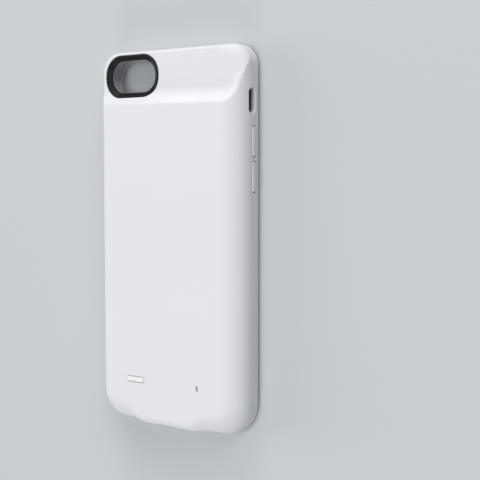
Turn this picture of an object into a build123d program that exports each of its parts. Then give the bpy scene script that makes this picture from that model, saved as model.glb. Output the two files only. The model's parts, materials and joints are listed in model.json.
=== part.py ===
"""Slim battery charging case with a camera window, lying face down on its front rim.

X runs across the case towards the volume keys, Y runs along it towards the camera end
and Z points up, out of its back. The origin is on the surface the case lies on, below
the middle of its outline. Every length is in millimetres.
"""
import os
from math import cos, radians, sin, tan

from build123d import *

os.makedirs("parts", exist_ok=True)

# Flat handheld device that the case is made to hold
device_width = 67.1
device_length = 138.3
device_thickness = 7.1
device_corner_radius = 9.6
device_side_room = 0.25
device_depth_room = 0.2

# Moulded shell
side_wall = 1.6
camera_end_wall = 1.8
chin_length = 4.4
chin_floor = 1.8
back_wall = 1.1
shelf_wall = 1.2
camera_corner_radius = 8.2
chin_corner_radius = 11.9
back_radius = 8.0
rim_radius = 2.0
lip_thickness = 0.8
lip_side_overlap = 1.6
lip_camera_end_overlap = 1.3
lip_chin_overlap = 0.6
lip_corner_radius = 6.8
lip_edge_radius = 0.3
pocket_edge_radius = 0.45

# Step in the back between the thick part and the thin camera end
step_from_camera_end = 21.5
step_ramp_radius = 5.8
step_corner_radius = 8.0
step_corner_from_side = 4.0
step_side_lean = radians(25)
step_side_run = 7.5
step_turn_lean = radians(75)
step_slant = radians(1.0)
step_turn_radius = 3.6
step_edge_radius = 1.2
step_cutter_width = 90.0
step_cutter_length = 40.0
step_cutter_height = 20.0

# Soft corner of the camera end, on the side of the volume keys
soft_radius = 4.3
soft_margin = 0.05
soft_side_lean = radians(24)
soft_end_lean = radians(14)
soft_side_run = 2.8
soft_end_run = 15.0
soft_reach = 60.0

# Flat land in the middle of the chin, around the charging socket
land_width = 21.0
land_run = 11.0
land_edge_radius = 3.0
land_end_growth = 0.3
land_depth = 16.0
land_height = 10.0
land_sections = 5

# Inner tray between the device and the battery bay
tray_thickness = 0.8
tray_ledge = 1.7
tray_clearance = 0.1
tray_end_wall = 0.9
bay_depth = 3.4
bay_end_wall = 1.7
channel_width = 48.0

# Camera window and its bezel
bezel_end_border = 1.6
bezel_side_border = 2.45
bezel_length = 27.1
bezel_width = 16.6
bezel_corner_radius = 7.8
bezel_seat = 0.5
bezel_shoulder = 0.6
bezel_clearance = 0.05
bezel_proud = 0.15
bezel_rim = 0.5
bezel_edge_radius = 0.15
bezel_throat_length = 22.1
bezel_throat_width = 12.5
bezel_throat_radius = 6.1
window_edge_radius = 0.3

# Side keys and the open switch slot
key_slot_length = 11.7
key_slot_width = 2.8
key_slot_radius = 1.1
key_gap = 0.42
key_height = 4.1
key_proud = 0.3
key_edge_radius = 0.35
key_web = 0.65
key_web_clearance = 0.05
key_flange_thickness = 0.45
key_flange_overlap = 0.7
key_nub_length = 6.0
key_nub_width = 1.4
key_nub_recess = 0.05
key_retainer_thickness = 0.2
key_retainer_border = 0.5
volume_up_from_camera_end = 35.7
volume_down_from_camera_end = 48.7
sleep_from_camera_end = 35.7
switch_slot_from_camera_end = 21.0
switch_slot_length = 9.1
switch_slot_width = 3.4
switch_slot_height = 5.1
switch_slot_chamfer = 0.35

# Charge key and indicator on the back
back_controls_from_chin = 17.1
charge_key_x = -14.9
charge_slot_length = 9.1
charge_slot_width = 2.4
charge_slot_radius = 0.7
charge_key_gap = 0.25
charge_key_proud = 0.15
charge_key_edge_radius = 0.12
charge_flange_overlap = 0.6
charge_flange_thickness = 0.45
charge_flange_clearance = 0.05
charge_stem_length = 2.4
charge_stem_width = 1.2
indicator_x = 15.8
indicator_length = 2.2
indicator_width = 1.1
indicator_clearance = 0.05
indicator_flange = 0.5
indicator_flange_thickness = 0.4
indicator_recess = 0.05

# Main board and what is soldered to it
board_width = 50.0
board_length = 21.6
board_thickness = 0.8
board_standoff = 1.9
board_end_room = 0.5
board_tab_width = 13.0
board_tab_length = 2.2
board_hole_inset = 2.6
boss_radius = 1.7
boss_pilot_radius = 0.65
boss_pilot_depth = 1.7
screw_radius = 0.6
screw_bite = 1.5
screw_head_radius = 1.2
screw_head_thickness = 0.5
screw_slot_width = 0.3
screw_slot_depth = 0.25
screw_hole_radius = 0.8
push_switch_length = 3.6
push_switch_width = 3.0
push_switch_height = 0.85
push_switch_well_depth = 0.6
plunger_length = 1.6
plunger_width = 1.2
plunger_gap = 0.2
plunger_rise = 0.25
plunger_sunk = 0.25
plunger_key_gap = 0.05
led_length = 1.6
led_width = 0.8
led_height = 0.6
controller_size = 4.0
controller_height = 0.8
controller_x = -7.5
converter_size = 3.0
converter_height = 0.75
converter_x = 2.0
inductor_size = 4.4
inductor_height = 1.6
inductor_edge_radius = 0.6
inductor_x = 9.0
chips_from_board_end = 6.5
capacitor_length = 2.0
capacitor_width = 1.25
capacitor_height = 1.1
capacitor_count = 4
capacitor_pitch = 3.4
capacitors_from_board_end = 12.6

# Charging socket at the chin end
socket_width = 7.4
socket_foot_width = 5.6
socket_height = 2.5
socket_bevel_height = 1.0
socket_depth = 5.2
socket_metal = 0.3
socket_overhang = 2.6
socket_notch_clearance = 0.2
socket_opening_gap = 0.3
socket_opening_radius = 0.7
socket_ceiling_room = 0.2
socket_tongue_width = 3.8
socket_tongue_thickness = 0.7
socket_tongue_setback = 0.6
socket_back_thickness = 0.8

# Plug that enters the device
plug_width = 6.7
plug_thickness = 1.5
plug_reach = 6.6
plug_tip_radius = 0.45
plug_base_width = 10.4
plug_base_height = 3.4
plug_base_clearance = 0.05
plug_base_chin_gap = 0.15
plug_hole_clearance = 0.35
plug_pad_count = 8
plug_pad_pitch = 0.7
plug_pad_width = 0.42
plug_pad_length = 3.0
plug_pad_thickness = 0.05
plug_pad_setback = 0.9
flex_width = 6.0
flex_thickness = 0.15
flex_bend_radius = 0.5
flex_from_tray_end = 0.6
flex_on_board = 5.0

# Sound slots through the chin
sound_slot_length = 4.4
sound_slot_width = 1.7
sound_slot_pitch = 5.6
sound_slot_count = 3
sound_slots_from_channel_side = 9.0
sound_slot_growth = 0.4

# Battery cell and its leads
foam_thickness = 0.2
foam_inset = 6.0
tape_thickness = 0.1
tape_inset = 5.0
cell_edge_radius = 1.1
cell_end_room = 1.2
lead_space = 2.6
guard_board_width = 24.0
guard_board_length = 3.2
guard_board_gap = 0.3
tab_width = 3.0
tab_thickness = 0.15
tab_spacing = 14.0
tab_on_board = 1.6
lead_radius = 0.4
lead_spacing = 5.0
lead_on_board = 2.0
lead_slack = 1.2

# Outline and levels that follow from the sizes above
pocket_width = device_width + 2 * device_side_room
pocket_length = device_length + 2 * device_side_room
case_width = pocket_width + 2 * side_wall
case_length = pocket_length + camera_end_wall + chin_length
chin_end = -case_length / 2
camera_end = case_length / 2
pocket_chin = chin_end + chin_length
pocket_top = camera_end - camera_end_wall
pocket_middle = (pocket_chin + pocket_top) / 2
pocket_corner_radius = device_corner_radius + device_side_room
device_level = lip_thickness + (device_thickness + device_depth_room) / 2
tray_face = lip_thickness + device_thickness + device_depth_room
bay_floor = tray_face + tray_thickness
bay_ceiling = bay_floor + bay_depth
case_thickness = bay_ceiling + back_wall
shelf_level = tray_face + shelf_wall
step_y = camera_end - step_from_camera_end
step_corner_x = case_width / 2 - step_corner_from_side
step_far_x = step_corner_x - step_cutter_width
step_far_y = step_y + step_cutter_width * tan(step_slant)
step_turn_x = step_corner_x + step_side_run * tan(step_side_lean)
step_turn_y = step_y + step_side_run
bay_top = step_y - bay_end_wall
bay_bottom = pocket_chin + tray_ledge
bay_width = pocket_width - 2 * tray_ledge
tray_top = bay_top + tray_ledge
channel_end = chin_end + back_wall
sound_slots_x = channel_width / 2 - sound_slots_from_channel_side
window_x = bezel_side_border + bezel_length / 2 - case_width / 2
window_y = camera_end - bezel_end_border - bezel_width / 2
controls_y = chin_end + back_controls_from_chin
board_top = bay_ceiling - board_standoff
board_base = board_top - board_thickness
board_chin = bay_bottom + board_end_room
board_head = board_chin + board_length
board_middle = (board_chin + board_head) / 2
socket_top = bay_ceiling - socket_ceiling_room
socket_base = socket_top - socket_height
tab_end = board_chin - board_tab_length
socket_mouth = tab_end - socket_overhang
cell_chin = board_head + lead_space + guard_board_length + guard_board_gap
cell_head = bay_top - cell_end_room
cell_length = cell_head - cell_chin
cell_width = case_width - 2 * back_radius
cell_base = bay_floor + foam_thickness
cell_top = bay_ceiling - tape_thickness
cell_middle = (cell_chin + cell_head) / 2
wall_face = pocket_width / 2
key_rebate = side_wall - key_web
key_cap_start = key_rebate - key_web_clearance
key_flange_start = key_cap_start - key_flange_thickness
flange_length = key_slot_length + 2 * key_flange_overlap - 2 * key_gap
flange_width = key_slot_width + 2 * key_flange_overlap - 2 * key_gap
rebate_length = flange_length + 2 * key_gap
rebate_width = flange_width + 2 * key_gap
volume_side = 1
sleep_side = -1
volume_up_y = camera_end - volume_up_from_camera_end
volume_down_y = camera_end - volume_down_from_camera_end
sleep_y = camera_end - sleep_from_camera_end
switch_slot_y = camera_end - switch_slot_from_camera_end
key_places = [
    (volume_side, volume_up_y),
    (volume_side, volume_down_y),
    (sleep_side, sleep_y),
]
sound_slot_places = [
    (side * sound_slots_x + (step - (sound_slot_count - 1) / 2) * sound_slot_pitch, 0)
    for side in (volume_side, sleep_side)
    for step in range(sound_slot_count)
]
boss_spread_x = board_width - 2 * board_hole_inset
boss_spread_y = board_length - 2 * board_hole_inset


def side_plane(side, y, height):
    """Plane on the pocket's side face at a key, its normal pointing out of the case."""
    return Plane(origin=(side * wall_face, y, height), x_dir=(0, 1, 0), z_dir=(side, 0, 0))


def end_plane(y, height):
    """Upright plane across the case, its normal pointing to the camera end."""
    return Plane(origin=(0, y, height), x_dir=(1, 0, 0), z_dir=(0, 1, 0))


def draw_outline(sketch, inset):
    """Outline of the case drawn in by a wall, with tighter corners at the camera end."""
    Rectangle(case_width - 2 * inset, case_length - 2 * inset)
    fillet(sketch.vertices().group_by(Axis.Y)[-1], radius=camera_corner_radius - inset)
    fillet(sketch.vertices().group_by(Axis.Y)[0], radius=chin_corner_radius - inset)


def save(builder, label):
    """Name a finished piece and write it to its own file."""
    builder.part.label = label
    export_step(builder.part, f"parts/{label}.step")


# Volume taken away above the thin camera end
with BuildPart() as step_cutter:
    with BuildSketch(Plane.XY.offset(shelf_level)) as step_outline:
        with BuildLine():
            Polyline(
                (step_far_x, step_far_y),
                (step_corner_x, step_y),
                (step_turn_x, step_turn_y),
                (step_turn_x + step_cutter_length * tan(step_turn_lean), step_turn_y + step_cutter_length),
                (step_far_x, step_turn_y + step_cutter_length),
                close=True,
            )
        make_face()
        step_turn = step_outline.vertices().sort_by_distance((step_turn_x, step_turn_y))[0]
        fillet(step_turn, radius=step_turn_radius)
        step_corner = step_outline.vertices().sort_by_distance((step_corner_x, step_y))[0]
        fillet(step_corner, radius=step_corner_radius)
    extrude(amount=step_cutter_height)
    fillet(step_cutter.faces().sort_by(Axis.Z)[0].edges(), radius=step_ramp_radius)

# Camera end under its soft corner, whose two sides lean out from the corner of the case
corner_x = case_width / 2 - camera_corner_radius
corner_y = camera_end - camera_corner_radius
soft_turn = (camera_corner_radius + soft_margin) / cos(soft_side_lean + soft_end_lean)
soft_tip_x = corner_x + soft_turn * (cos(soft_end_lean) - sin(soft_side_lean))
soft_tip_y = corner_y + soft_turn * (cos(soft_side_lean) - sin(soft_end_lean))
soft_side_x = soft_tip_x + soft_reach * sin(soft_side_lean)
soft_side_y = soft_tip_y - soft_reach * cos(soft_side_lean)
soft_end_x = soft_tip_x - soft_reach * cos(soft_end_lean)
soft_end_y = soft_tip_y + soft_reach * sin(soft_end_lean)
soft_top = shelf_level + soft_margin
with BuildPart() as soft_core:
    with BuildSketch() as soft_outline:
        with BuildLine():
            Polyline(
                (soft_tip_x, soft_tip_y),
                (soft_end_x, soft_end_y),
                (soft_end_x, soft_side_y),
                (soft_side_x, soft_side_y),
                close=True,
            )
        make_face()
        soft_tip = soft_outline.vertices().sort_by_distance((soft_tip_x, soft_tip_y))[0]
        fillet(soft_tip, radius=camera_corner_radius + soft_margin)
    extrude(amount=soft_top)
    soft_arc = soft_core.faces().sort_by(Axis.Z)[-1].edges().filter_by(GeomType.CIRCLE)
    fillet(soft_arc, radius=soft_radius)

# Volume taken away above the soft corner
with BuildPart() as soft_cutter:
    with BuildSketch(Plane.XY.offset(soft_top - soft_radius)):
        with Locations((corner_x - soft_end_run, corner_y - soft_side_run)):
            Rectangle(case_width, case_width, align=(Align.MIN, Align.MIN))
    extrude(amount=step_cutter_height)
    add(soft_core.part, mode=Mode.SUBTRACT)

# Room for the device
with BuildPart() as pocket_cutter:
    with BuildSketch(Plane.XY.offset(lip_thickness)):
        with Locations((0, pocket_middle)):
            RectangleRounded(pocket_width, pocket_length, pocket_corner_radius)
    extrude(amount=tray_face - lip_thickness)
    fillet(pocket_cutter.faces().sort_by(Axis.Z)[0].edges(), radius=pocket_edge_radius)

# Limits of the battery bay and of the channel behind the chin
with BuildPart() as bay_limits:
    with BuildSketch(Plane.XY.offset(bay_floor)):
        with Locations((0, (bay_top + bay_bottom) / 2)):
            Rectangle(bay_width, bay_top - bay_bottom)
    extrude(amount=bay_depth)
    with BuildSketch(Plane.XY.offset(chin_floor)):
        with Locations((0, (bay_bottom + chin_end) / 2)):
            Rectangle(channel_width, bay_bottom - chin_end)
    extrude(amount=bay_ceiling - chin_floor)

# Room for the battery and the board, following the rounded back at one wall's distance
with BuildPart() as bay_cutter:
    with BuildSketch() as bay_outline:
        draw_outline(bay_outline, back_wall)
    extrude(amount=bay_ceiling)
    fillet(bay_cutter.faces().sort_by(Axis.Z)[-1].edges(), radius=back_radius - back_wall)
    add(bay_limits.part, mode=Mode.INTERSECT)


def draw_land(sketch, radius):
    """Section through the chin's back edge, rounded off by the given radius."""
    with Locations((chin_end, case_thickness)):
        Rectangle(land_depth, land_height, align=(Align.MIN, Align.MAX))
    fillet(sketch.vertices().group_by(Axis.Y)[-1].sort_by(Axis.X)[0], radius=radius)


# Land around the charging socket: a tight back edge that eases out to the rounded chin
with BuildPart() as socket_land:
    with BuildSketch(Plane.YZ.offset(-land_width / 2)) as land_middle:
        draw_land(land_middle, land_edge_radius)
    extrude(amount=land_width)
    for side in (volume_side, sleep_side):
        for step in range(land_sections):
            run = step / (land_sections - 1)
            ease = run * run * (3 - 2 * run)
            with BuildSketch(Plane.YZ.offset(side * (land_width / 2 + run * land_run))) as section:
                draw_land(
                    section,
                    land_edge_radius + ease * (back_radius + land_end_growth - land_edge_radius),
                )
        loft()

# Outer shell: back, sides, chin and front lip in one moulding
with BuildPart() as outer_shell:
    with BuildSketch() as shell_outline:
        draw_outline(shell_outline, 0)
    extrude(amount=case_thickness)
    fillet(outer_shell.faces().sort_by(Axis.Z)[-1].edges(), radius=back_radius)
    fillet(outer_shell.faces().sort_by(Axis.Z)[0].edges(), radius=rim_radius)
    add(step_cutter.part, mode=Mode.SUBTRACT)
    fillet(outer_shell.edges(Select.LAST), radius=step_edge_radius)
    add(soft_cutter.part, mode=Mode.SUBTRACT)
    add(socket_land.part)
    # Device pocket, the mouth in the lip, the seat of the tray and the battery bay
    add(pocket_cutter.part, mode=Mode.SUBTRACT)
    mouth_chin = pocket_chin + device_side_room + lip_chin_overlap
    mouth_top = pocket_top - device_side_room - lip_camera_end_overlap
    with BuildSketch():
        with Locations((0, (mouth_chin + mouth_top) / 2)):
            RectangleRounded(
                device_width - 2 * lip_side_overlap, mouth_top - mouth_chin, lip_corner_radius
            )
    extrude(amount=tray_face, mode=Mode.SUBTRACT)
    mouth_edges = outer_shell.faces().sort_by(Axis.Z)[0].inner_wires()[0].edges()
    fillet(mouth_edges, radius=lip_edge_radius)
    with BuildSketch(Plane.XY.offset(tray_face)):
        with Locations((0, pocket_middle)):
            RectangleRounded(pocket_width, pocket_length, pocket_corner_radius)
        with Locations((0, (tray_top + chin_end) / 2)):
            Rectangle(case_width, tray_top - chin_end, mode=Mode.INTERSECT)
    extrude(amount=tray_thickness, mode=Mode.SUBTRACT)
    add(bay_cutter.part, mode=Mode.SUBTRACT)
    # Stepped hole for the camera bezel
    with BuildSketch(Plane.XY.offset(tray_face + bezel_seat)):
        with Locations((window_x, window_y)):
            RectangleRounded(bezel_length, bezel_width, bezel_corner_radius)
    extrude(amount=step_cutter_height, mode=Mode.SUBTRACT)
    window_edges = outer_shell.edges(Select.LAST).filter_by(Axis.Z, reverse=True)
    window_rim = window_edges.filter_by_position(Axis.Z, shelf_level - bezel_proud, case_thickness)
    fillet(window_rim, radius=window_edge_radius)
    with BuildSketch(Plane.XY.offset(tray_face)):
        with Locations((window_x, window_y)):
            RectangleRounded(
                bezel_length - 2 * bezel_shoulder,
                bezel_width - 2 * bezel_shoulder,
                bezel_corner_radius - bezel_shoulder,
            )
    extrude(amount=bezel_seat, mode=Mode.SUBTRACT)
    # Slots for the side keys, each with a rebate for the key's flange
    for side, y in key_places:
        with BuildSketch(side_plane(side, y, key_height)):
            RectangleRounded(key_slot_length, key_slot_width, key_slot_radius)
        extrude(amount=2 * side_wall, mode=Mode.SUBTRACT)
        with BuildSketch(side_plane(side, y, key_height)):
            Rectangle(rebate_length, rebate_width)
        extrude(amount=key_rebate, mode=Mode.SUBTRACT)
    with BuildSketch(side_plane(volume_side, switch_slot_y, switch_slot_height)):
        SlotOverall(switch_slot_length, switch_slot_width)
    extrude(amount=2 * side_wall, mode=Mode.SUBTRACT)
    slot_edges = outer_shell.edges(Select.LAST).filter_by(Axis.X, reverse=True)
    slot_rim = slot_edges.filter_by_position(Axis.X, wall_face + side_wall / 2, case_width)
    chamfer(slot_rim, length=switch_slot_chamfer)
    # Slot for the charge key and the hole for the indicator
    with BuildSketch(Plane.XY.offset(bay_ceiling)):
        with Locations((charge_key_x, controls_y)):
            RectangleRounded(charge_slot_length, charge_slot_width, charge_slot_radius)
        with Locations((indicator_x, controls_y)):
            SlotOverall(indicator_length, indicator_width, rotation=90)
    extrude(amount=2 * back_wall, mode=Mode.SUBTRACT)
    # Opening for the charging socket and the sound slots
    with BuildSketch(end_plane(chin_end, (socket_base + socket_top) / 2)):
        RectangleRounded(
            socket_width + 2 * socket_opening_gap,
            socket_height + 2 * socket_ceiling_room,
            socket_opening_radius,
        )
    extrude(amount=back_radius, mode=Mode.SUBTRACT)
    with BuildSketch(end_plane(chin_end, device_level)):
        with Locations(*sound_slot_places):
            SlotOverall(sound_slot_length, sound_slot_width)
    extrude(amount=back_wall, mode=Mode.SUBTRACT)
    # Bosses that carry the main board
    with BuildSketch(Plane.XY.offset(board_top)):
        with Locations((0, board_middle)):
            with GridLocations(boss_spread_x, boss_spread_y, 2, 2):
                Circle(boss_radius)
    extrude(amount=board_standoff)
    with BuildSketch(Plane.XY.offset(board_top)):
        with Locations((0, board_middle)):
            with GridLocations(boss_spread_x, boss_spread_y, 2, 2):
                Circle(boss_pilot_radius)
    extrude(amount=boss_pilot_depth, mode=Mode.SUBTRACT)
save(outer_shell, "outer_shell")

# Inner tray: the floor of the pocket with an end wall around the plug
end_wall_base = chin_floor + tray_clearance
with BuildPart() as inner_tray:
    with BuildSketch(Plane.XY.offset(tray_face)):
        with Locations((0, pocket_middle)):
            RectangleRounded(
                pocket_width - 2 * tray_clearance,
                pocket_length - 2 * tray_clearance,
                pocket_corner_radius - tray_clearance,
            )
        with Locations((0, (tray_top + chin_end) / 2 - tray_clearance)):
            Rectangle(case_width, tray_top - chin_end, mode=Mode.INTERSECT)
    extrude(amount=tray_thickness)
    with BuildSketch(Plane.XY.offset(end_wall_base)):
        with Locations((0, pocket_chin - tray_end_wall / 2)):
            Rectangle(channel_width - 2 * tray_clearance, tray_end_wall)
    extrude(amount=bay_floor - end_wall_base)
    with BuildSketch(Plane.XY.offset(tray_face)):
        with Locations((0, pocket_chin + tray_clearance / 2)):
            Rectangle(channel_width - 2 * tray_clearance, tray_clearance)
    extrude(amount=tray_thickness)
    with BuildSketch(end_plane(pocket_chin - tray_end_wall, device_level)):
        RectangleRounded(
            plug_width + 2 * plug_hole_clearance,
            plug_thickness + 2 * plug_hole_clearance,
            plug_thickness / 2,
        )
        with Locations(*sound_slot_places):
            SlotOverall(sound_slot_length + sound_slot_growth, sound_slot_width + sound_slot_growth)
    extrude(amount=tray_end_wall, mode=Mode.SUBTRACT)
save(inner_tray, "inner_tray")

# Funnel-shaped bezel of the camera window
bezel_base = tray_face + bezel_seat
bezel_top = shelf_level + bezel_proud
with BuildPart() as camera_bezel:
    with BuildSketch(Plane.XY.offset(bezel_base)):
        with Locations((window_x, window_y)):
            RectangleRounded(
                bezel_length - 2 * bezel_clearance,
                bezel_width - 2 * bezel_clearance,
                bezel_corner_radius - bezel_clearance,
            )
    extrude(amount=bezel_top - bezel_base)
    fillet(camera_bezel.faces().sort_by(Axis.Z)[-1].edges(), radius=bezel_edge_radius)
    neck_inset = bezel_shoulder + bezel_clearance
    with BuildSketch(Plane.XY.offset(tray_face)):
        with Locations((window_x, window_y)):
            RectangleRounded(
                bezel_length - 2 * neck_inset,
                bezel_width - 2 * neck_inset,
                bezel_corner_radius - neck_inset,
            )
    extrude(amount=bezel_seat)
    mouth_inset = bezel_clearance + bezel_rim
    with BuildSketch(Plane.XY.offset(tray_face)):
        with Locations((window_x, window_y)):
            RectangleRounded(bezel_throat_length, bezel_throat_width, bezel_throat_radius)
    with BuildSketch(Plane.XY.offset(bezel_top)):
        with Locations((window_x, window_y)):
            RectangleRounded(
                bezel_length - 2 * mouth_inset,
                bezel_width - 2 * mouth_inset,
                bezel_corner_radius - mouth_inset,
            )
    loft(mode=Mode.SUBTRACT)
save(camera_bezel, "camera_bezel")


def make_side_key(label, side, y):
    """Flanged key that slides in its slot in the side wall."""
    face = side_plane(side, y, key_height)
    with BuildPart() as key:
        with BuildSketch(face.offset(key_nub_recess)):
            RectangleRounded(key_nub_length, key_nub_width, key_nub_width / 3)
        extrude(amount=key_flange_start - key_nub_recess)
        with BuildSketch(face.offset(key_flange_start)):
            Rectangle(flange_length, flange_width)
        extrude(amount=key_flange_thickness)
        with BuildSketch(face.offset(key_cap_start)):
            RectangleRounded(
                key_slot_length - 2 * key_gap,
                key_slot_width - 2 * key_gap,
                key_slot_radius - key_gap,
            )
        extrude(amount=side_wall + key_proud - key_cap_start)
        fillet(key.faces().sort_by(Axis((0, 0, 0), (side, 0, 0)))[-1].edges(), radius=key_edge_radius)
    save(key, label)


make_side_key("volume_up_key", volume_side, volume_up_y)
make_side_key("volume_down_key", volume_side, volume_down_y)
make_side_key("sleep_key", sleep_side, sleep_y)


def make_key_retainer(label, side, rows):
    """Thin frame on the pocket wall that keeps the keys in their rebates."""
    middle = (rows[0] + rows[-1]) / 2
    face = side_plane(side, middle, key_height)
    with BuildPart() as retainer:
        with BuildSketch(face.offset(-key_retainer_thickness)):
            RectangleRounded(
                rows[0] - rows[-1] + rebate_length + 2 * key_retainer_border,
                rebate_width + 2 * key_retainer_border,
                key_retainer_border,
            )
            with Locations(*[(row - middle, 0) for row in rows]):
                Rectangle(
                    key_nub_length + 2 * key_gap, key_nub_width + 2 * key_gap, mode=Mode.SUBTRACT
                )
        extrude(amount=key_retainer_thickness)
    save(retainer, label)


make_key_retainer("volume_key_retainer", volume_side, [volume_up_y, volume_down_y])
make_key_retainer("sleep_key_retainer", sleep_side, [sleep_y])

# Charge key on the back
charge_flange_top = bay_ceiling - charge_flange_clearance
charge_flange_base = charge_flange_top - charge_flange_thickness
plunger_top = board_top + push_switch_height + plunger_rise
charge_stem_base = plunger_top + plunger_key_gap
charge_key_top = case_thickness + charge_key_proud
with BuildPart() as charge_key:
    with BuildSketch(Plane.XY.offset(charge_stem_base)):
        with Locations((charge_key_x, controls_y)):
            Rectangle(charge_stem_length, charge_stem_width)
    extrude(amount=charge_flange_base - charge_stem_base)
    with BuildSketch(Plane.XY.offset(charge_flange_base)):
        with Locations((charge_key_x, controls_y)):
            Rectangle(
                charge_slot_length + 2 * charge_flange_overlap,
                charge_slot_width + 2 * charge_flange_overlap,
            )
    extrude(amount=charge_flange_thickness)
    with BuildSketch(Plane.XY.offset(charge_flange_top)):
        with Locations((charge_key_x, controls_y)):
            RectangleRounded(
                charge_slot_length - 2 * charge_key_gap,
                charge_slot_width - 2 * charge_key_gap,
                charge_slot_radius - charge_key_gap,
            )
    extrude(amount=charge_key_top - charge_flange_top)
    fillet(charge_key.faces().sort_by(Axis.Z)[-1].edges(), radius=charge_key_edge_radius)
save(charge_key, "charge_key")

# Push switch under the charge key
with BuildPart() as push_switch:
    with BuildSketch(Plane.XY.offset(board_top)):
        with Locations((charge_key_x, controls_y)):
            Rectangle(push_switch_length, push_switch_width)
    extrude(amount=push_switch_height)
    with BuildSketch(Plane.XY.offset(board_top + push_switch_height - push_switch_well_depth)):
        with Locations((charge_key_x, controls_y)):
            Rectangle(plunger_length + 2 * plunger_gap, plunger_width + 2 * plunger_gap)
    extrude(amount=push_switch_well_depth, mode=Mode.SUBTRACT)
save(push_switch, "push_switch")

with BuildPart() as switch_plunger:
    with BuildSketch(Plane.XY.offset(board_top + push_switch_height - plunger_sunk)):
        with Locations((charge_key_x, controls_y)):
            Rectangle(plunger_length, plunger_width)
    extrude(amount=plunger_sunk + plunger_rise)
save(switch_plunger, "switch_plunger")

# Indicator: a light on the board and the clear pipe above it
with BuildPart() as indicator_led:
    with BuildSketch(Plane.XY.offset(board_top)):
        with Locations((indicator_x, controls_y)):
            Rectangle(led_width, led_length)
    extrude(amount=led_height)
save(indicator_led, "indicator_led")

pipe_base = board_top + led_height + indicator_clearance
pipe_flange_base = bay_ceiling - indicator_flange_thickness
with BuildPart() as indicator_light_pipe:
    with BuildSketch(Plane.XY.offset(pipe_base)):
        with Locations((indicator_x, controls_y)):
            SlotOverall(
                indicator_length - 2 * indicator_clearance,
                indicator_width - 2 * indicator_clearance,
                rotation=90,
            )
    extrude(amount=case_thickness - indicator_recess - pipe_base)
    with BuildSketch(Plane.XY.offset(pipe_flange_base)):
        with Locations((indicator_x, controls_y)):
            SlotOverall(
                indicator_length + 2 * indicator_flange,
                indicator_width + 2 * indicator_flange,
                rotation=90,
            )
    extrude(amount=indicator_flange_thickness)
save(indicator_light_pipe, "indicator_light_pipe")

# Main board, notched for the charging socket
notch_depth = socket_depth - socket_overhang + socket_notch_clearance
with BuildPart() as main_board:
    with BuildSketch(Plane.XY.offset(board_base)):
        with Locations((0, board_middle)):
            Rectangle(board_width, board_length)
        with Locations((0, (board_chin + tab_end) / 2)):
            Rectangle(board_tab_width, board_tab_length)
        with Locations((0, board_middle)):
            with GridLocations(boss_spread_x, boss_spread_y, 2, 2):
                Circle(screw_hole_radius, mode=Mode.SUBTRACT)
        with Locations((0, tab_end + notch_depth / 2)):
            Rectangle(socket_width + 2 * socket_notch_clearance, notch_depth, mode=Mode.SUBTRACT)
    extrude(amount=board_thickness)
save(main_board, "main_board")

# Screws that hold the board to its bosses
with BuildPart() as board_screws:
    with BuildSketch(Plane.XY.offset(board_base - screw_head_thickness)):
        with Locations((0, board_middle)):
            with GridLocations(boss_spread_x, boss_spread_y, 2, 2):
                Circle(screw_head_radius)
    extrude(amount=screw_head_thickness)
    with BuildSketch(Plane.XY.offset(board_base)):
        with Locations((0, board_middle)):
            with GridLocations(boss_spread_x, boss_spread_y, 2, 2):
                Circle(screw_radius)
    extrude(amount=board_thickness + screw_bite)
    with BuildSketch(Plane.XY.offset(board_base - screw_head_thickness)):
        with Locations((0, board_middle)):
            with GridLocations(boss_spread_x, boss_spread_y, 2, 2):
                Rectangle(2 * screw_head_radius, screw_slot_width)
    extrude(amount=screw_slot_depth, mode=Mode.SUBTRACT)
save(board_screws, "board_screws")


def make_chip(label, x, from_end, size, height, edge_radius=0):
    """Square component standing on the board's upper face."""
    with BuildPart() as chip:
        with BuildSketch(Plane.XY.offset(board_top)):
            with Locations((x, board_head - from_end)):
                if edge_radius:
                    RectangleRounded(size, size, edge_radius)
                else:
                    Rectangle(size, size)
        extrude(amount=height)
    save(chip, label)


make_chip("charge_controller", controller_x, chips_from_board_end, controller_size, controller_height)
make_chip("boost_converter", converter_x, chips_from_board_end, converter_size, converter_height)
make_chip(
    "power_inductor",
    inductor_x,
    chips_from_board_end,
    inductor_size,
    inductor_height,
    inductor_edge_radius,
)

with BuildPart() as filter_capacitors:
    with BuildSketch(Plane.XY.offset(board_top)):
        with Locations((0, board_head - capacitors_from_board_end)):
            with GridLocations(capacitor_pitch, 0, capacitor_count, 1):
                Rectangle(capacitor_width, capacitor_length)
    extrude(amount=capacitor_height)
save(filter_capacitors, "filter_capacitors")

# Charging socket: a folded metal shell around a moulded tongue
socket_outline = [
    (-socket_width / 2, -socket_height / 2),
    (socket_width / 2, -socket_height / 2),
    (socket_width / 2, socket_height / 2 - socket_bevel_height),
    (socket_foot_width / 2, socket_height / 2),
    (-socket_foot_width / 2, socket_height / 2),
    (-socket_width / 2, socket_height / 2 - socket_bevel_height),
]
socket_level = (socket_base + socket_top) / 2
with BuildPart() as socket_shell:
    with BuildSketch(end_plane(socket_mouth, socket_level)):
        Polygon(*socket_outline, align=None)
        offset(amount=-socket_metal, mode=Mode.SUBTRACT)
    extrude(amount=socket_depth)
save(socket_shell, "socket_shell")

with BuildPart() as socket_tongue:
    with BuildSketch(end_plane(socket_mouth + socket_depth - socket_back_thickness, socket_level)):
        Polygon(*socket_outline, align=None)
        offset(amount=-socket_metal, mode=Mode.REPLACE)
    extrude(amount=socket_back_thickness)
    with BuildSketch(end_plane(socket_mouth + socket_tongue_setback, socket_level)):
        Rectangle(socket_tongue_width, socket_tongue_thickness)
    extrude(amount=socket_depth - socket_tongue_setback)
save(socket_tongue, "socket_tongue")

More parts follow.
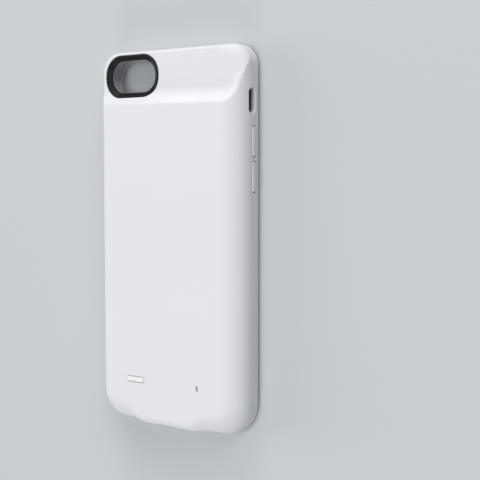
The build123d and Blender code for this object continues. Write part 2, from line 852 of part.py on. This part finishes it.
# Plug that enters the device, with its base in the chin
plug_base_start = channel_end + plug_base_chin_gap
plug_base_end = pocket_chin - tray_end_wall - plug_base_clearance
with BuildPart() as dock_plug:
    with BuildSketch(end_plane(plug_base_end, device_level)):
        RectangleRounded(plug_width, plug_thickness, plug_thickness / 2 - plug_pad_thickness)
    extrude(amount=pocket_chin + plug_reach - plug_base_end)
    fillet(dock_plug.faces().sort_by(Axis.Y)[-1].edges(), radius=plug_tip_radius)
save(dock_plug, "dock_plug")

with BuildPart() as plug_base:
    with BuildSketch(end_plane(plug_base_start, device_level)):
        Rectangle(plug_base_width, plug_base_height)
    extrude(amount=plug_base_end - plug_base_start)
save(plug_base, "plug_base")

pad_end = pocket_chin + plug_reach - plug_pad_setback
with BuildPart() as plug_contacts:
    for level in (device_level + plug_thickness / 2, device_level - plug_thickness / 2 - plug_pad_thickness):
        with BuildSketch(Plane.XY.offset(level)):
            with Locations((0, pad_end - plug_pad_length / 2)):
                with GridLocations(plug_pad_pitch, 0, plug_pad_count, 1):
                    Rectangle(plug_pad_width, plug_pad_length)
        extrude(amount=plug_pad_thickness)
save(plug_contacts, "plug_contacts")

# Flexible strip from the plug's base up to the board
flex_y = pocket_chin - tray_end_wall - flex_from_tray_end
flex_start = device_level + plug_base_height / 2
flex_level = board_base - flex_thickness / 2
flex_end = board_chin + flex_on_board
with BuildPart() as plug_flex:
    with BuildSketch(Plane.YZ.offset(-flex_width / 2)):
        with BuildLine():
            FilletPolyline(
                (flex_y, flex_start),
                (flex_y, flex_level),
                (flex_end, flex_level),
                radius=flex_bend_radius,
            )
        trace(line_width=flex_thickness)
    extrude(amount=flex_width)
save(plug_flex, "plug_flex")

# Battery cell with its foam, tape, guard board, tabs and leads
with BuildPart() as battery_cell:
    with BuildSketch(Plane.XY.offset(cell_base)):
        with Locations((0, cell_middle)):
            Rectangle(cell_width, cell_length)
    extrude(amount=cell_top - cell_base)
    fillet(battery_cell.edges().filter_by(Axis.Y), radius=cell_edge_radius)
save(battery_cell, "battery_cell")

with BuildPart() as cell_tape:
    with BuildSketch(Plane.XY.offset(cell_top)):
        with Locations((0, cell_middle)):
            Rectangle(cell_width - 2 * tape_inset, cell_length - 2 * tape_inset)
    extrude(amount=tape_thickness)
save(cell_tape, "cell_tape")

with BuildPart() as cell_foam:
    with BuildSketch(Plane.XY.offset(bay_floor)):
        with Locations((0, cell_middle)):
            Rectangle(cell_width - 2 * foam_inset, cell_length - 2 * foam_inset)
    extrude(amount=foam_thickness)
save(cell_foam, "cell_foam")

guard_head = cell_chin - guard_board_gap
guard_chin = guard_head - guard_board_length
with BuildPart() as guard_board:
    with BuildSketch(Plane.XY.offset(board_base)):
        with Locations((0, (guard_head + guard_chin) / 2)):
            Rectangle(guard_board_width, guard_board_length)
    extrude(amount=board_thickness)
save(guard_board, "guard_board")

with BuildPart() as cell_tabs:
    with BuildSketch(Plane.XY.offset(board_top)):
        with Locations((0, (cell_chin + guard_head - tab_on_board) / 2)):
            with GridLocations(tab_spacing, 0, 2, 1):
                Rectangle(tab_width, cell_chin - guard_head + tab_on_board)
    extrude(amount=tab_thickness)
save(cell_tabs, "cell_tabs")

lead_level = board_top + lead_radius
lead_start = guard_chin + lead_on_board
lead_end = board_head - lead_on_board


def make_lead(label, side):
    """Insulated wire lying on both boards with a little slack between them."""
    x = side * lead_spacing / 2
    with BuildPart() as lead:
        with BuildLine():
            route = Spline(
                (x, lead_start, lead_level),
                (x + side * lead_slack, (lead_start + lead_end) / 2, lead_level),
                (x, lead_end, lead_level),
                tangents=[(0, -1, 0), (0, -1, 0)],
            )
        with BuildSketch(Plane(origin=route @ 0, z_dir=route % 0)):
            Circle(lead_radius)
        sweep()
    save(lead, label)


make_lead("positive_lead", volume_side)
make_lead("negative_lead", sleep_side)
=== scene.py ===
# %% [markdown]
# # A slim battery charging case
#
# The case is a flat white moulding with a pocket in its front and a battery behind that. It
# lies face down here, so the picture shows its back: the thick battery part, a ramp down to a
# thin camera end, an oval black window, two volume keys and a small charge key. The solids
# come from the CAD model and keep their shape. This lesson adds the camera, the light and the
# finishes.
#
# The first cell loads the solids. Each one is a Blender object whose mesh is already in its
# place, in metres, so nothing has to be moved.

import json
import math

import bpy
from mathutils import Matrix, Vector

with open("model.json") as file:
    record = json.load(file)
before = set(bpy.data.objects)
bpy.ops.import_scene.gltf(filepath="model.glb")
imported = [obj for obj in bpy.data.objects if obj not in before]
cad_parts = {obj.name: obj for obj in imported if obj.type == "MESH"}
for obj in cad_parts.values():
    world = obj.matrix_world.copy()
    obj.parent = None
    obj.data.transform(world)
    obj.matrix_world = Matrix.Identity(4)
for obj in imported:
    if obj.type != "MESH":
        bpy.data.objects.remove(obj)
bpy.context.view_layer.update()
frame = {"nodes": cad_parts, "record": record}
scene = bpy.context.scene
scene.view_settings.view_transform = "Standard"
nodes = frame["nodes"]
print("solids loaded:", len(nodes))

# %% [markdown]
# ## Camera
#
# A picture like this one is taken from straight above the middle of the case and a good
# third of a right angle towards the volume keys. The camera could be aimed with a constraint,
# but three axes worked out from two angles say plainly how it stands: one points back at the
# camera, one to the right of the picture and one up it. The case sits left of the middle, so
# the camera slides sideways instead of using lens shift, which keeps the other views true.

# %% Stand the camera
turn = math.radians(36.37)
rise = math.radians(4.01)
distance = 0.4051
focal_pixels = 1052.0
picture_size = 480
case_pixel = (176.29, 238.45)
case_middle = Vector((0, 0, 0.006))

back = Vector((math.sin(turn) * math.cos(rise), math.sin(rise), math.cos(turn) * math.cos(rise)))
right = Vector((0, 1, 0)).cross(back).normalized()
up = back.cross(right)
metres_per_pixel = distance / focal_pixels
slide_right = (picture_size / 2 - case_pixel[0]) * metres_per_pixel
slide_up = (case_pixel[1] - picture_size / 2) * metres_per_pixel

camera_data = bpy.data.cameras.new("camera")
camera_data.sensor_width = 36
camera_data.lens = focal_pixels / picture_size * camera_data.sensor_width
camera_data.clip_start = 0.01
camera = bpy.data.objects.new("camera", camera_data)
stand = Matrix((right, up, back)).transposed().to_4x4()
stand.translation = case_middle + distance * back + slide_right * right + slide_up * up
camera.matrix_world = stand
scene.collection.objects.link(camera)
scene.camera = camera
print("camera at", [round(value, 3) for value in stand.translation], "lens", round(camera_data.lens, 1))

# %% [markdown]
# ## Two helpers for the finishes
#
# Paint charts give colours as sRGB hex values, but a shader works in linear light, so one
# function turns the first into the second. Every finish below is a little tree of nodes, and
# one function adds a node, sets its values and joins its links. With those two, a finish
# reads as a short list.

# %% Colour and node helpers
def linear(hex_colour):
    channels = [int(hex_colour[place : place + 2], 16) / 255 for place in (1, 3, 5)]
    light = [c / 12.92 if c <= 0.04045 else ((c + 0.055) / 1.055) ** 2.4 for c in channels]
    return (*light, 1.0)


def add_node(tree, kind, settings=None, links=None):
    node = tree.nodes.new(kind)
    for name, value in (settings or {}).items():
        if name in node.inputs:
            node.inputs[name].default_value = value
        else:
            setattr(node, name, value)
    for name, socket in (links or {}).items():
        tree.links.new(socket, node.inputs[name])
    return node


def start_material(name):
    material = bpy.data.materials.new(name)
    material.use_nodes = True
    tree = material.node_tree
    place = add_node(tree, "ShaderNodeTexCoord").outputs["Object"]
    return material, tree, tree.nodes["Principled BSDF"], place


def per_metre(millimetres):
    return 1000.0 / millimetres


print("shell white as linear light:", [round(c, 3) for c in linear("#E4E4E6")[:3]])

# %% [markdown]
# ## Moulded plastic
#
# Most of the case is injection moulded. The steel of the mould is polished, blasted or spark
# eroded, and the plastic copies that surface: a broad soft sheen with a very fine grain in
# it. Two close shades, a roughness that drifts a little and a faint bump give that. A plain
# colour would look like paper, and a mirror gloss like glass. One function makes all the
# plastics, because the pieces differ only in colour, gloss and grain.

# %% Plastic finishes
shade_drift_mm = 40
gloss_spread = 0.05


def moulded(name, shade, tint, roughness, grain_mm, relief_mm, ior=1.58, specular=0.5):
    material, tree, shader, place = start_material(name)
    drift = add_node(
        tree,
        "ShaderNodeTexNoise",
        {"Scale": per_metre(shade_drift_mm), "Detail": 2.0},
        {"Vector": place},
    )
    colour = add_node(tree, "ShaderNodeValToRGB", links={"Fac": drift.outputs["Fac"]})
    colour.color_ramp.elements[0].color = linear(shade)
    colour.color_ramp.elements[1].color = linear(tint)
    grain = add_node(
        tree, "ShaderNodeTexNoise", {"Scale": per_metre(grain_mm), "Detail": 3.0}, {"Vector": place}
    )
    gloss = add_node(
        tree,
        "ShaderNodeMapRange",
        {"To Min": roughness - gloss_spread, "To Max": roughness + gloss_spread},
        {"Value": grain.outputs["Fac"]},
    )
    relief = add_node(
        tree,
        "ShaderNodeBump",
        {"Strength": 0.5, "Distance": relief_mm / 1000},
        {"Height": grain.outputs["Fac"]},
    )
    shader.inputs["IOR"].default_value = ior
    shader.inputs["Specular IOR Level"].default_value = specular
    tree.links.new(colour.outputs["Color"], shader.inputs["Base Color"])
    tree.links.new(gloss.outputs["Result"], shader.inputs["Roughness"])
    tree.links.new(relief.outputs["Normal"], shader.inputs["Normal"])
    return material


finishes = {
    # Polycarbonate blend from a finely blasted mould, for the shell and its side keys: satin
    # white. Its real grain is under 0.1 mm, drawn here at 0.6 mm so that it shows at all.
    "shell_white": moulded(
        "polycarbonate_shell", "#E4E4E6", "#E9E9EB", 0.70, 0.6, 0.004, specular=0.2
    ),
    # The charge key comes from a smaller, smoother mould and looks a touch whiter.
    "key_white": moulded("polycarbonate_charge_key", "#ECECED", "#F1F1F2", 0.55, 0.5, 0.003),
    # The tray is the floor of the pocket and has a spark-eroded satin face, grain about 0.4 mm.
    "tray_white": moulded("polycarbonate_tray", "#D6D6D8", "#DEDEE0", 0.55, 0.4, 0.02),
    # ABS coloured black: deep, with a small soft highlight, so that no stray light shows.
    "bezel_black": moulded(
        "black_abs_bezel", "#050506", "#09090B", 0.42, 0.5, 0.004, 1.54, 0.2
    ),
    # Nylon of the push switch, dull and nearly black, with a grey plunger.
    "switch_black": moulded("black_nylon", "#1B1B1D", "#26262A", 0.5, 0.3, 0.006, 1.53),
    "plunger_grey": moulded("grey_nylon", "#8A8C90", "#9A9CA0", 0.5, 0.3, 0.006, 1.53),
    # Glass-filled polyester round the plug, chalky white.
    "plug_moulding": moulded("polyester_plug_base", "#D2D2D0", "#DCDCDA", 0.6, 0.4, 0.01, 1.57),
    # Liquid-crystal polymer of the socket's tongue.
    "socket_black": moulded("black_polymer_tongue", "#141416", "#1E1E20", 0.45, 0.3, 0.004, 1.6),
    # Epoxy moulding compound of the chips, with a fine grit of about 0.2 mm.
    "chip_black": moulded("epoxy_chip_package", "#1C1C1E", "#2C2C2E", 0.62, 0.2, 0.008, 1.55),
    # Pressed ferrite powder, grey and gritty.
    "inductor_grey": moulded("pressed_ferrite", "#3E4044", "#54565A", 0.7, 0.3, 0.015, 1.6),
    # Fired ceramic of the small capacitors.
    "capacitor_tan": moulded("fired_ceramic", "#A8865E", "#BE9C72", 0.45, 0.4, 0.004, 1.6),
}
print("plastic finishes:", len(finishes))

# %% [markdown]
# ## Clear, soft and thin pieces
#
# The indicator shows as a small grey slit: a plug of smoky acrylic that carries light from
# the board to the back. The leads, the foam, the tape and the films are soft or thin pieces
# inside. They share the plastics' recipe with other values, apart from the acrylic, which
# lets some light through.

# %% Acrylic, film, foam and insulation
def smoky_acrylic(name, shade, tint):
    material = moulded(name, shade, tint, 0.16, 0.8, 0.002, 1.49)
    material.node_tree.nodes["Principled BSDF"].inputs["Transmission Weight"].default_value = 0.1
    return material


finishes.update(
    {
        "pipe_smoke": smoky_acrylic("smoky_acrylic_pipe", "#A0A1A4", "#ACADB0"),
        # Clear resin over a light chip, slightly yellow from its phosphor.
        "led_white": moulded("phosphor_resin", "#E6DFA8", "#EFE9BC", 0.3, 0.4, 0.003, 1.52),
        # Polyester film that keeps the keys in place.
        "retainer_film": moulded("polyester_film", "#C6C8C8", "#D2D4D4", 0.4, 1.5, 0.004, 1.57),
        # Polyimide, the amber film under the copper of a flexible strip.
        "flex_amber": moulded("polyimide_film", "#9C5A14", "#B06C20", 0.32, 1.2, 0.004, 1.7),
        "tape_clear": moulded("tissue_tape", "#D8D6CC", "#E4E2DA", 0.65, 1.0, 0.01, 1.48),
        # Open-cell polyurethane foam with cells of about 0.4 mm.
        "foam_grey": moulded("polyurethane_foam", "#2E2F31", "#484A4C", 0.9, 0.4, 0.08, 1.5),
        # Silicone insulation of the two leads.
        "lead_red": moulded("red_silicone", "#A4120E", "#B81C16", 0.5, 0.5, 0.004, 1.41),
        "lead_black": moulded("black_silicone", "#161616", "#222222", 0.5, 0.5, 0.004, 1.41),
    }
)
print("finishes so far:", len(finishes))

# %% [markdown]
# ## Metal
#
# The socket, the plug, the screws and the battery tabs are thin plated sheet. Rolling leaves
# fine streaks in the sheet, and the plating keeps them. A noise stretched along the case
# gives streaks of about a tenth of a millimetre across, drawn three times as wide so that
# they show. The foil round the cell isn't streaked: it is laminated, and its skin puckers.

# %% Metal finishes
streak_width_mm = 0.3
streak_length_mm = 6
plating_gloss_spread = 0.06


def plated(name, shade, tint, roughness):
    material, tree, shader, place = start_material(name)
    across, along = per_metre(streak_width_mm), per_metre(streak_length_mm)
    stretch = add_node(
        tree, "ShaderNodeMapping", {"Scale": (across, along, across)}, {"Vector": place}
    )
    streak = add_node(
        tree,
        "ShaderNodeTexNoise",
        {"Scale": 1.0, "Detail": 2.0},
        {"Vector": stretch.outputs["Vector"]},
    )
    colour = add_node(tree, "ShaderNodeValToRGB", links={"Fac": streak.outputs["Fac"]})
    colour.color_ramp.elements[0].color = linear(shade)
    colour.color_ramp.elements[1].color = linear(tint)
    gloss = add_node(
        tree,
        "ShaderNodeMapRange",
        {"To Min": roughness - plating_gloss_spread, "To Max": roughness + plating_gloss_spread},
        {"Value": streak.outputs["Fac"]},
    )
    shader.inputs["Metallic"].default_value = 1.0
    tree.links.new(colour.outputs["Color"], shader.inputs["Base Color"])
    tree.links.new(gloss.outputs["Result"], shader.inputs["Roughness"])
    return material


def pouch_foil(name, shade, tint, pucker_mm, depth_mm):
    material = plated(name, shade, tint, 0.34)
    tree = material.node_tree
    place = tree.nodes["Texture Coordinate"].outputs["Object"]
    pucker = add_node(
        tree,
        "ShaderNodeTexNoise",
        {"Scale": per_metre(pucker_mm), "Detail": 4.0},
        {"Vector": place},
    )
    skin = add_node(
        tree,
        "ShaderNodeBump",
        {"Strength": 0.6, "Distance": depth_mm / 1000},
        {"Height": pucker.outputs["Fac"]},
    )
    tree.links.new(skin.outputs["Normal"], tree.nodes["Principled BSDF"].inputs["Normal"])
    return material


finishes.update(
    {
        # Tin-plated steel: grey and half bright.
        "socket_steel": plated("tin_plated_steel_socket", "#B4B5B8", "#C6C7CA", 0.3),
        "screw_steel": plated("zinc_plated_steel", "#A8A9AC", "#BEBFC2", 0.36),
        # Nickel-plated stainless steel of the plug, brighter and slightly warm.
        "plug_steel": plated("nickel_plated_steel_plug", "#BEBDBA", "#D2D1CE", 0.24),
        "tab_nickel": plated("nickel_strip", "#B8B3A6", "#CBC6BA", 0.32),
        # Hard gold over nickel on the contacts.
        "contact_gold": plated("hard_gold", "#D2A850", "#E4BE6C", 0.22),
        # Aluminium laminate of the pouch cell, puckered 0.3 mm deep about every 7 mm.
        "cell_foil": pouch_foil("aluminium_laminate", "#B4B6BA", "#C8CACE", 7, 0.3),
    }
)
print("finishes so far:", len(finishes))

# %% [markdown]
# ## Circuit board
#
# A board is green because its copper is covered with a green lacquer. The tracks show through
# as slightly lighter lines. A brick pattern gives thin straight lines on a grid, which is
# close to how tracks run, without drawing each one.

# %% Lacquered board
def lacquered_board(name, lacquer, track, spacing_mm, height_mm):
    material, tree, shader, place = start_material(name)
    tracks = add_node(
        tree,
        "ShaderNodeTexBrick",
        {
            "Color1": linear(lacquer),
            "Color2": linear(lacquer),
            "Mortar": linear(track),
            "Scale": per_metre(spacing_mm),
            "Mortar Size": 0.09,
            "Brick Width": 2.0,
            "Row Height": 0.5,
        },
        {"Vector": place},
    )
    relief = add_node(
        tree,
        "ShaderNodeBump",
        {"Strength": 0.4, "Distance": height_mm / 1000},
        {"Height": tracks.outputs["Fac"]},
    )
    shader.inputs["Roughness"].default_value = 0.3
    shader.inputs["IOR"].default_value = 1.55
    tree.links.new(tracks.outputs["Color"], shader.inputs["Base Color"])
    tree.links.new(relief.outputs["Normal"], shader.inputs["Normal"])
    return material


# Glass-epoxy laminate with green solder lacquer over tracks about 2 mm apart, 0.03 mm high.
finishes["board_green"] = lacquered_board("lacquered_glass_epoxy", "#0F4A26", "#2C7040", 2, 0.03)
print("finishes:", len(finishes))

# %% [markdown]
# ## Dressing the solids
#
# The record names a finish for every solid, so one loop can dress them all. The meshes come
# with sharp edges marked where the CAD faces meet, so they are left as they are.

# %% Give each solid its finish
for subpart in frame["record"]["subparts"]:
    solid = nodes[subpart["node"]]
    solid.data.materials.clear()
    solid.data.materials.append(finishes[subpart["material_slot"]])
print("dressed:", ", ".join(sorted(nodes)))

# %% [markdown]
# ## Floor
#
# A white object needs a floor a little darker than itself, or its edges vanish. This one is
# matt paper. It is pale to the camera and in reflections, and dimmer for the light that it
# throws back, so that the sides of the case shade off as they do on a photographer's table.
# One function tells the two uses apart by the kind of ray. Paper has hardly any gloss, so the
# floor's specular level is low.

# %% Floor
reach = 3.0
grey_in_view = "#CDCED0"
grey_thrown_back = "#9A9B9D"

floor_mesh = bpy.data.meshes.new("floor")
floor_corners = [(-reach, -reach, 0), (reach, -reach, 0), (reach, reach, 0), (-reach, reach, 0)]
floor_mesh.from_pydata(floor_corners, [], [(0, 1, 2, 3)])
floor = bpy.data.objects.new("floor", floor_mesh)
scene.collection.objects.link(floor)


def in_view(tree):
    path = add_node(tree, "ShaderNodeLightPath")
    mirrored = add_node(
        tree,
        "ShaderNodeMath",
        {"operation": "MAXIMUM"},
        {0: path.outputs["Is Glossy Ray"], 1: path.outputs["Is Transmission Ray"]},
    )
    seen = add_node(
        tree,
        "ShaderNodeMath",
        {"operation": "MAXIMUM"},
        {0: path.outputs["Is Camera Ray"], 1: mirrored.outputs["Value"]},
    )
    return seen.outputs["Value"]


paper, paper_tree, paper_shader, _ = start_material("matt_paper_floor")
paper_shade = add_node(paper_tree, "ShaderNodeValToRGB", links={"Fac": in_view(paper_tree)})
paper_shade.color_ramp.elements[0].color = linear(grey_thrown_back)
paper_shade.color_ramp.elements[1].color = linear(grey_in_view)
paper_shader.inputs["Roughness"].default_value = 0.9
paper_shader.inputs["Specular IOR Level"].default_value = 0.1
paper_tree.links.new(paper_shade.outputs["Color"], paper_shader.inputs["Base Color"])
floor_mesh.materials.append(paper)
print("floor reach:", reach)

# %% [markdown]
# ## Light
#
# Product pictures are lit with broad soft lamps. A sky texture or a sun would throw hard
# shadows, so disk lamps are used. They stand at both ends, on the sleep side, overhead and off
# one corner, far enough away that they don't burn out the floor in the picture. The strongest
# one, beyond the camera end, brightens the ramp. None stands straight beside the volume keys,
# so that side shades off. The world is a pale wall in the picture and a weak fill light on
# the case.

# %% Lamps and world
wall_strength = 0.62
fill_strength = 0.22
lamp_size = 1.4

world = bpy.data.worlds.new("studio")
world.use_nodes = True
world_tree = world.node_tree
wall = world_tree.nodes["Background"]
wall.inputs["Color"].default_value = linear("#FFFFFF")
fill = add_node(
    world_tree,
    "ShaderNodeMapRange",
    {"To Min": fill_strength, "To Max": wall_strength},
    {"Value": in_view(world_tree)},
)
world_tree.links.new(fill.outputs["Result"], wall.inputs["Strength"])
scene.world = world


def hang_lamp(name, place, watts):
    lamp_data = bpy.data.lights.new(name, "AREA")
    lamp_data.shape = "DISK"
    lamp_data.size = lamp_size
    lamp_data.energy = watts
    lamp = bpy.data.objects.new(name, lamp_data)
    lamp.location = place
    lamp.rotation_euler = (case_middle - Vector(place)).to_track_quat("-Z", "Y").to_euler()
    scene.collection.objects.link(lamp)


hang_lamp("camera_end_lamp", (0, 2.3, 0.7), 26.0)
hang_lamp("chin_lamp", (0, -2.3, 0.8), 19.6)
hang_lamp("sleep_side_lamp", (-2.3, 0, 0.8), 16.8)
hang_lamp("overhead_lamp", (0, 0, 2.4), 20.0)
hang_lamp("volume_corner_lamp", (1.4, 1.6, 1.2), 16.8)
